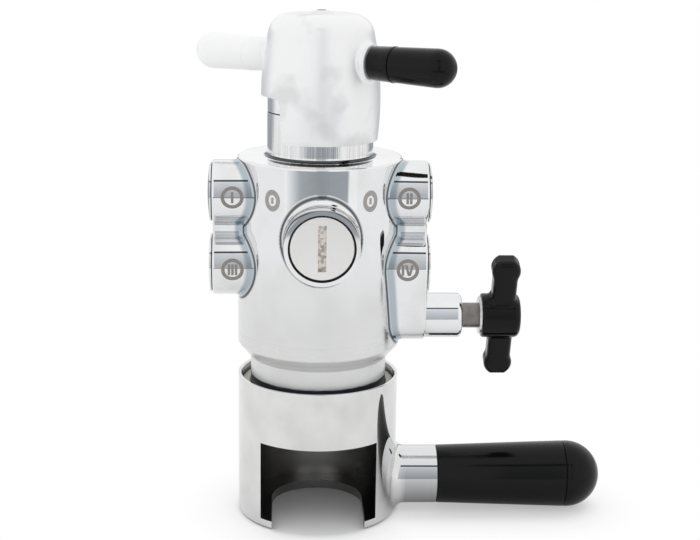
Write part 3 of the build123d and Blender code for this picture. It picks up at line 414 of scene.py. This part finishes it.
# Grey patches of painted reflection, more of them low down on the cap.
painted_reflections = cap.ramp(cap_cloud + 0.15 * low_down, (0.56, 0), (0.74, 0.8))
cap.finish(
    Base_Color=cap.mix(painted_reflections, CAP_PALE, CAP_PAINTED_REFLECTION),
    Metallic=0.5,
    Roughness=0.26 + 0.12 * cap_cloud,
    Normal=cap.bump(cap_cloud, 0.10, 0.0003, cap.bump(cap_grain, 0.05, 0.00002)),
)
dress(cap_satin, "turning_cap")


# Clamping bell: chrome plated brass, brushed lightly round the axis outside, and left as turned inside, where
# its colour is darkened as painted shade. Its arm and the blend to it are polished.
BELL_BRIGHT = (0.75, 0.75, 0.745)
BELL_DULL = (0.65, 0.65, 0.645)
BELL_INSIDE_PAINTED_SHADE = (0.30, 0.295, 0.29)
BELL_SKIN = 0.0005
BELL_MOUTH_FROM_TOP = 0.0022
POLISHED_FROM_X = 0.021
POLISHED_BLEND = 0.004
ARM_FROM_X = 0.034
ARM_BLEND = 0.003
ARM_HEIGHT = 0.028
ARM_PAINTED_LOW = (0.37, 0.37, 0.37)
ARM_PAINTED_MIDDLE = (0.52, 0.53, 0.54)
ARM_PAINTED_TOP = (0.70, 0.71, 0.72)
bell_low, bell_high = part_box("clamping_bell")
bell_outer_r = -bell_low[0]
bell_satin, bell = new_finish("bell_satin")
x, y, z = bell.xyz(bell.place())
# Inside the bell the colour is darkened: painted shade.
inside = (bell.from_axis(x, y) < bell_outer_r - BELL_SKIN) * (z < bell_high[2] - BELL_MOUTH_FROM_TOP)
on_cylinder = bell.clamped((POLISHED_FROM_X - x) / POLISHED_BLEND)
turn_rings = bell.noise(0.0008, 4.0, at=bell.vector(0, 0, z))
long_lines = bell.noise(0.02, 3.0, (0.6, 0.6, 8.0))
bell_smudge = bell.noise(0.015, 4.0)
bell_outside = bell.ramp(bell_smudge, (0.3, BELL_DULL), (0.65, BELL_BRIGHT))
# The arm's colour is graded by height, dark at its foot and pale at its top: painted shade and reflection.
arm_painted_reflection = bell.ramp(z / ARM_HEIGHT, (0.15, ARM_PAINTED_LOW), (0.6, ARM_PAINTED_MIDDLE), (0.85, ARM_PAINTED_TOP))
bell_outside = bell.mix(bell.clamped((x - ARM_FROM_X) / ARM_BLEND), bell_outside, arm_painted_reflection)
bell.finish(
    Base_Color=bell.mix(inside, bell_outside, BELL_INSIDE_PAINTED_SHADE),
    Metallic=1.0,
    Roughness=0.03 + on_cylinder * (0.05 + 0.10 * long_lines) + 0.16 * inside,
    Normal=bell.bump(turn_rings, 0.10, 0.00003, bell.bump(long_lines, 0.06, 0.0001)),
)
dress(bell_satin, "clamping_bell")


# Flow regulator: turned from stainless steel, with a face brushed from side to side. The coin slot was cut by
# a saw, and is rough and a little stained.
SLOT_STAIN = (0.86, 0.80, 0.75)
FACE_STEEL = (0.83, 0.82, 0.805)
FACE_DEPTH = 0.0003
disc_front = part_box("flow_regulator")[0][1]
brushed_steel, disc = new_finish("brushed_steel")
in_slot = disc.xyz(disc.place())[1] > disc_front + FACE_DEPTH
face_lines = disc.noise(0.0006, 4.0, (0.04, 1, 1))
slot_grain = disc.noise(0.0012, 4.0)
slot_depths = tuple(0.45 * tone for tone in SLOT_STAIN)
slot_colour = disc.ramp(slot_grain, (0.35, slot_depths), (0.55, SLOT_STAIN))
disc.finish(
    Base_Color=disc.mix(in_slot, FACE_STEEL, slot_colour),
    Metallic=0.65,
    Roughness=0.26 + 0.08 * face_lines + 0.2 * in_slot,
    Normal=disc.bump(disc.mix(in_slot, face_lines, slot_grain), 0.35, 0.00005),
)
dress(brushed_steel, "flow_regulator")


# Other steel pieces: turned from stainless bar and not polished. They carry the fine rings of the lathe along
# their own axis, and the spindle has dull grey-brown patches from handling.
def turned_steel(name, tone, along, roughness=0.3):
    material, steel = new_finish(name)
    line = steel.xyz(steel.place())["XYZ".index(along)]
    lathe_rings = steel.noise(0.0006, 4.0, at=steel.vector(line, 0, 0))
    stain = steel.noise(0.004, 4.0)
    steel.finish(
        Base_Color=steel.ramp(stain, (0.3, tuple(0.72 * part for part in tone)), (0.62, tone)),
        Metallic=1.0,
        Roughness=roughness + 0.15 * stain,
        Normal=steel.bump(lathe_rings, 0.3, 0.00004),
    )
    return material


spindle_steel = turned_steel("spindle_steel", (0.25, 0.235, 0.22), "X")
insert_steel = turned_steel("insert_steel", (0.74, 0.74, 0.73), "X", 0.2)
shank_steel = turned_steel("shank_steel", (0.60, 0.595, 0.58), "Y")
tail_steel = turned_steel("tail_steel", (0.66, 0.65, 0.63), "Y")
upright_steel = turned_steel("upright_steel", (0.62, 0.61, 0.60), "Z")
dress(spindle_steel, "bleed_spindle")
dress(insert_steel, "knob_insert", "bell_stud", "lever_studs")
dress(shank_steel, "mounting_shank")
dress(tail_steel, *(f"inlet_tail_{number}" for number in range(1, 5)))
dress(upright_steel, "valve_rotor", "filling_nozzle", "stop_pin")


# Mounting shank: turned from bar, with a 22 mm thread of 1.5 mm pitch for the nut that clamps it to the
# column, and a plain end for the gas hose. Core and thread are turned here in the place of the plain one.
SHANK_BORE_R = 0.004
SHANK_SEAT_R = 0.0095
THREAD_ROOT_R = 0.01008
THREAD_CREST_R = 0.01098
THREAD_FLANK = 0.0006
THREAD_CREST_WIDTH = 0.0002
THREAD_SINK = 0.00005
THREAD_PITCH = 0.0015
THREAD_RUNOUT = 0.0016
THREAD_LOW = 0.040
THREAD_HIGH = 0.062
SPIGOT_R = 0.0075
SPIGOT_CHAMFER = 0.001
THREAD_STEPS_A_TURN = 40
SHANK_SHARP_FROM = 30


def turned_about_x(build, outline, steps=64, closed=False):
    """Turns an outline of (along, radius) points about X, as a lathe does."""
    verts = [build.verts.new((along, 0, radius)) for along, radius in outline]
    ends = verts[1:] + verts[:1] if closed else verts[1:]
    edges = [build.edges.new(pair) for pair in zip(verts, ends)]
    turn = {"cent": (0, 0, 0), "axis": (1, 0, 0), "angle": 2 * math.pi}
    bmesh.ops.spin(build, geom=verts + edges, steps=steps, use_merge=True, **turn)
    bmesh.ops.remove_doubles(build, verts=build.verts, dist=1e-7)


def smooth_to(piece, degrees):
    """Shades a piece as round, with a sharp line wherever its faces meet at more than the angle."""
    piece.data.shade_smooth()
    piece.data.set_sharp_from_angle(angle=math.radians(degrees))


shank_low, shank_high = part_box("mounting_shank")
build = bmesh.new()
turned_about_x(build, [
    (shank_low[1], SHANK_BORE_R),
    (shank_low[1], SHANK_SEAT_R),
    (THREAD_LOW, SHANK_SEAT_R),
    (THREAD_LOW, THREAD_ROOT_R),
    (THREAD_HIGH, THREAD_ROOT_R),
    (THREAD_HIGH, SPIGOT_R),
    (shank_high[1] - SPIGOT_CHAMFER, SPIGOT_R),
    (shank_high[1], SPIGOT_R - SPIGOT_CHAMFER),
    (shank_high[1], SHANK_BORE_R),
], closed=True)
ridge = [
    (0, THREAD_ROOT_R - THREAD_SINK),
    (THREAD_FLANK, THREAD_CREST_R),
    (THREAD_FLANK + THREAD_CREST_WIDTH, THREAD_CREST_R),
    (2 * THREAD_FLANK + THREAD_CREST_WIDTH, THREAD_ROOT_R - THREAD_SINK),
]
corners = [build.verts.new((THREAD_LOW + along, 0, radius)) for along, radius in ridge]
sides = [build.edges.new(pair) for pair in zip(corners, corners[1:] + corners[:1])]
thread_turns = int((THREAD_HIGH - THREAD_LOW - THREAD_RUNOUT) / THREAD_PITCH)
thread_end = bmesh.ops.spin(
    build,
    geom=corners + sides,
    cent=(0, 0, 0),
    axis=(1, 0, 0),
    angle=2 * math.pi * thread_turns,
    steps=THREAD_STEPS_A_TURN * thread_turns,
    dvec=(THREAD_PITCH / THREAD_STEPS_A_TURN, 0, 0),
)["geom_last"]
bmesh.ops.edgenet_fill(build, edges=sides)
bmesh.ops.edgenet_fill(build, edges=[part for part in thread_end if isinstance(part, bmesh.types.BMEdge)])
bmesh.ops.recalc_face_normals(build, faces=build.faces)
shank_place = Matrix.Translation((0, 0, (shank_low[2] + shank_high[2]) / 2))
shank_place @= Matrix.Rotation(math.pi / 2, 4, "Z")
bmesh.ops.transform(build, matrix=shank_place, verts=build.verts)
shank = new_piece("threaded_shank", build, shank_steel, "body")
smooth_to(shank, SHANK_SHARP_FROM)
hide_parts("mounting_shank")


# Black and white mouldings, seals and inner plastic pieces: hard glossy plastic for the grips and the knob,
# with a fine spark-eroded grain from the mould, and soft black rubber for the seals.
def moulded(name, colour, roughness, shine=0.5):
    material, plastic = new_finish(name)
    paler = tuple(min(0.95, 1.2 * part) for part in colour)
    grain = plastic.noise(0.0005, 2.0)
    cloud = plastic.noise(0.015, 3.0)
    plastic.finish(
        Base_Color=plastic.ramp(cloud, (0.3, colour), (0.8, paler)),
        Roughness=roughness + 0.12 * cloud,
        Specular_IOR_Level=shine,
        Normal=plastic.bump(grain, 0.12, 0.00003),
    )
    return material


black_plastic = moulded("black_plastic", (0.0022, 0.0022, 0.0022), 0.10, 0.18)
white_plastic = moulded("white_plastic", (0.93, 0.93, 0.93), 0.38)
seal_rubber = moulded("seal_rubber", (0.010, 0.010, 0.010), 0.5, 0.3)
slide_plastic = moulded("slide_plastic", (0.72, 0.70, 0.64), 0.38)
dress(black_plastic, "black_lever_grip", "bell_grip", "wing_knob")
dress(white_plastic, "white_lever_grip")
dress(seal_rubber, "end_plug_seals", "inlet_washers", "regulator_face_seal", "regulator_stem_seal")
dress(seal_rubber, "bottle_seal", "rotor_seals", "bonnet_gasket", "bleed_seals")
dress(seal_rubber, *(f"check_membrane_{number}" for number in range(1, 5)))
dress(slide_plastic, "rotor_washer", "guide_ring", *(f"check_cartridge_{number}" for number in range(1, 5)))


# Grips: moulded over the studs in hard plastic. A lever grip has a collar at its root, which ends in a low
# lip and a groove, and the bell's grip has the parting line of its mould near the tip.
LEVER_HEADING = math.radians(35)
LEVER_ROOT_R = 0.0066
LEVER_TIP_R = 0.0075
LEVER_COLLAR = 0.0098
BELL_GRIP_START = 0.0502
BELL_GRIP_ROOT_R = 0.0122
BELL_GRIP_TIP_R = 0.0139
BELL_SEAM_FROM_TIP = 0.0156
GROOVE_WIDTH = 0.0004
GROOVE_DEPTH = 0.00028
LIP = 0.00018
ROOT_ROUND = 0.0006
BALL_STEPS = 16
GRIP_SHARP_FROM = 35


def grip_outline(length, root_r, tip_r, seam, lip):
    """From the root to the pole of the round tip, with a groove at the seam."""
    slope = (tip_r - root_r) / (length - tip_r)
    at_seam = root_r + slope * seam
    ball = [-slope + step / BALL_STEPS * (math.pi / 2 + slope) for step in range(BALL_STEPS + 1)]
    return [
        (0, 0),
        (0, root_r - ROOT_ROUND),
        (0.3 * ROOT_ROUND, root_r - 0.3 * ROOT_ROUND),
        (ROOT_ROUND, root_r),
        (seam - 4 * GROOVE_WIDTH, at_seam),
        (seam - 2 * GROOVE_WIDTH, at_seam + lip),
        (seam - GROOVE_WIDTH / 2, at_seam + lip),
        (seam, at_seam - GROOVE_DEPTH),
        (seam + GROOVE_WIDTH / 2, at_seam),
        (seam + 3 * GROOVE_WIDTH, at_seam),
        *((length - tip_r + tip_r * math.sin(turn), tip_r * math.cos(turn)) for turn in ball),
    ]


def new_grip(name, node, outline, place, material, body):
    build = bmesh.new()
    turned_about_x(build, outline)
    bmesh.ops.recalc_face_normals(build, faces=build.faces)
    bmesh.ops.transform(build, matrix=place, verts=build.verts)
    grip = new_piece(name, build, material, body)
    smooth_to(grip, GRIP_SHARP_FROM)
    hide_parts(node)


lever_low, lever_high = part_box("black_lever_grip")
lever_height = (lever_low[2] + lever_high[2]) / 2
lever_start = lever_low[0] / math.cos(LEVER_HEADING) + LEVER_ROOT_R * math.tan(LEVER_HEADING)
lever_end = (lever_high[0] - LEVER_TIP_R) / math.cos(LEVER_HEADING) + LEVER_TIP_R
lever_outline = grip_outline(lever_end - lever_start, LEVER_ROOT_R, LEVER_TIP_R, LEVER_COLLAR, LIP)
for colour, material, turn in (
    ("black", black_plastic, -LEVER_HEADING),
    ("white", white_plastic, math.pi - LEVER_HEADING),
):
    place = Matrix.Translation((0, 0, lever_height)) @ Matrix.Rotation(turn, 4, "Z")
    place @= Matrix.Translation((lever_start, 0, 0))
    node = f"{colour}_lever_grip"
    new_grip(f"{colour}_lever_moulding", node, lever_outline, place, material, "head")

grip_low, grip_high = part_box("bell_grip")
grip_length = grip_high[0] - BELL_GRIP_START
bell_seam = grip_length - BELL_SEAM_FROM_TIP
bell_outline = grip_outline(grip_length, BELL_GRIP_ROOT_R, BELL_GRIP_TIP_R, bell_seam, 0)
place = Matrix.Translation((BELL_GRIP_START, 0, (grip_low[2] + grip_high[2]) / 2))
new_grip("bell_grip_moulding", "bell_grip", bell_outline, place, black_plastic, "collar")


# Studio: a sheet of white paper and a light tent all round. Polished metal shows what is round it, so the
# paper is cut out in front, where the camera stands, and the tent has a grey opening above the cut.
PAPER_BACK = 0.55
PAPER_FRONT = -0.75
PAPER_HALF_WIDTH = 1.1
PAPER_DROP = 0.0002
CUT_R = 0.58
CUT_HALF_ANGLE = 54
CUT_STEP = 9
CUT_CORNER_X = 0.9
paper_build = bmesh.new()
cut_turns = [math.radians(turn) for turn in range(-CUT_HALF_ANGLE, CUT_HALF_ANGLE + 1, CUT_STEP)]
paper_rim = [
    (-PAPER_HALF_WIDTH, PAPER_BACK),
    (-PAPER_HALF_WIDTH, PAPER_FRONT),
    (-CUT_CORNER_X, PAPER_FRONT),
    *((CUT_R * math.sin(turn), -bell_outer_r - CUT_R * math.cos(turn)) for turn in cut_turns),
    (CUT_CORNER_X, PAPER_FRONT),
    (PAPER_HALF_WIDTH, PAPER_FRONT),
    (PAPER_HALF_WIDTH, PAPER_BACK),
]
paper_build.faces.new([paper_build.verts.new((across, along, -PAPER_DROP)) for across, along in paper_rim])
paper_mesh = bpy.data.meshes.new("paper")
paper_build.to_mesh(paper_mesh)
paper_build.free()
paper_sheet = bpy.data.objects.new("paper", paper_mesh)
bpy.context.scene.collection.objects.link(paper_sheet)

# The paper is lifted to white where it is seen, and keeps the shadow close to the bell and its handle.
HANDLE_REACH = 0.1
HANDLE_R = 0.014
LIFT_FROM_R = 0.031
LIFT_BLEND = 0.004
SHADOW_REACH = 0.1
paper_white, paper = new_finish("paper_white")
paper.finish(Base_Color=(0.95, 0.95, 0.95), Roughness=0.9)
seen = paper.ray("Camera") + paper.ray("Transmission") + 0.2 * paper.ray("Glossy")
x, y, z = paper.xyz(paper.place())
past_handle = x - HANDLE_REACH * paper.clamped(x / HANDLE_REACH)
from_axis = paper.from_axis(x, y)
from_tap = (from_axis - bell_outer_r).least(paper.from_axis(past_handle, y) - HANDLE_R)
outside_bell = paper.clamped((from_axis - LIFT_FROM_R) / LIFT_BLEND)
clear_of_tap = paper.clamped(from_tap / SHADOW_REACH)
lift = seen * outside_bell * paper.ramp(clear_of_tap, (0, 0.4), (0.08, 0.7), (0.25, 1))
glow = paper.node("ShaderNodeEmission", {}, {"Color": (1, 1, 1), "Strength": 1.0})
bare_paper = Socket(paper, paper.surface.outputs[0])
lifted = paper.node("ShaderNodeMixShader", {}, {0: lift, 1: bare_paper, 2: glow})
paper.tree.links.new(lifted.output, paper.tree.nodes["Material Output"].inputs["Surface"])
paper_mesh.materials.append(paper_white)

# How dark each patch of the tent is, where 1 is black, and the colour that the dark places lean to.
FLOOR_DARK = 0.66
OPENING_DARK = 0.48
BEHIND_DARK = 0.6
LAMP_EDGE_DARK = 0.95
TENT_LIGHT = 1.05
WHITE = (1.0, 1.0, 1.0)
ROOM_BLUE = (0.80, 0.90, 1.0)
world = bpy.data.worlds.new("tent")
bpy.context.scene.world = world
world.use_nodes = True
tent = Shader(world.node_tree, "Background")
ray_x, ray_y, ray_z = tent.xyz(tent.node("ShaderNodeTexCoord", output="Generated"))
heading = tent.heading(ray_x, 0 - ray_y) / math.pi
sideways = abs(heading)
upwards = tent.node("ShaderNodeMath", {"operation": "ARCSINE"}, {0: ray_z}) / math.pi + 0.5


def tent_band(low, high, half_width, soft=1.0):
    """One patch of the tent: 1 between two heights and within a half width either side, in degrees."""
    step = soft / 180
    rise = [low / 180 + 0.5, high / 180 + 0.5]
    edge = half_width / 180
    in_height = tent.ramp(upwards, (rise[0] - step, 0), (rise[0], 1), (rise[1], 1), (rise[1] + step, 0))
    in_width = tent.ramp(sideways, (0, 1), (edge, 1), (edge + step, 0))
    return in_height * in_width


in_front = tent.ramp(heading / 2 + 0.5, (0.36, 0), (0.42, 0.85), (0.5, 1), (0.605, 0.9), (0.611, 0))
to_the_sides = tent.ramp(sideways, (0.36, 0), (0.42, 1))
floor_ahead = tent_band(-80, -8.3, 180, 0.8) * in_front
floor_beside = tent_band(-80, -10, 180, 1.0) * to_the_sides
room_floor = tent.clamped(floor_ahead + floor_beside)
between_lamps = tent.ramp(heading / 2 + 0.5, (0.478, 0), (0.488, 1), (0.524, 1), (0.534, 0))
opening = tent_band(-8, 42, 180, 5.0) * between_lamps * tent.ramp(upwards, (0.5, 1), (0.74, 0.45))
lamp_edge = tent_band(46, 52, 16, 1.0)
behind = tent.ramp(sideways, (0.62, 0), (0.74, 1)) * tent.ramp(upwards, (0.515, 1), (0.545, 0))
above_floor = (OPENING_DARK * opening + BEHIND_DARK * behind) * (1 - room_floor)
dark = tent.clamped(FLOOR_DARK * room_floor + above_floor + LAMP_EDGE_DARK * lamp_edge)
# What is seen straight on is plain white, and what the metal mirrors is the tent with its dark places.
direct = tent.ray("Camera") + tent.ray("Transmission")
level = tent.node("ShaderNodeMix", {"data_type": "FLOAT"}, {0: direct, 2: TENT_LIGHT - dark, 3: 1.0})
tint = tent.mix(tent.clamped(dark - direct), WHITE, ROOM_BLUE)
tent.finish(Color=tint, Strength=level)

PHOTO_WIDTH = 700
FOCAL_PIXELS = 1534.28
SENSOR_WIDTH = 36
LENS_PLACE = (-0.01535, -0.61088, 0.25379)
LENS_YAW = math.radians(2.63)
LENS_PITCH = math.radians(13.86)
LENS_ROLL = math.radians(0.86)
lens = bpy.data.cameras.new("photo_camera")
lens.sensor_width = SENSOR_WIDTH
lens.lens = FOCAL_PIXELS / PHOTO_WIDTH * SENSOR_WIDTH
lens.clip_start = 0.01
camera = bpy.data.objects.new("photo_camera", lens)
bpy.context.scene.collection.objects.link(camera)
camera.matrix_world = (
    Matrix.Translation(LENS_PLACE)
    @ Matrix.Rotation(-LENS_YAW, 4, "Z")
    @ Matrix.Rotation(math.radians(90) - LENS_PITCH, 4, "X")
    @ Matrix.Rotation(LENS_ROLL, 4, "Z")
)
bpy.context.scene.camera = camera
bpy.context.scene.view_settings.view_transform = "Standard"
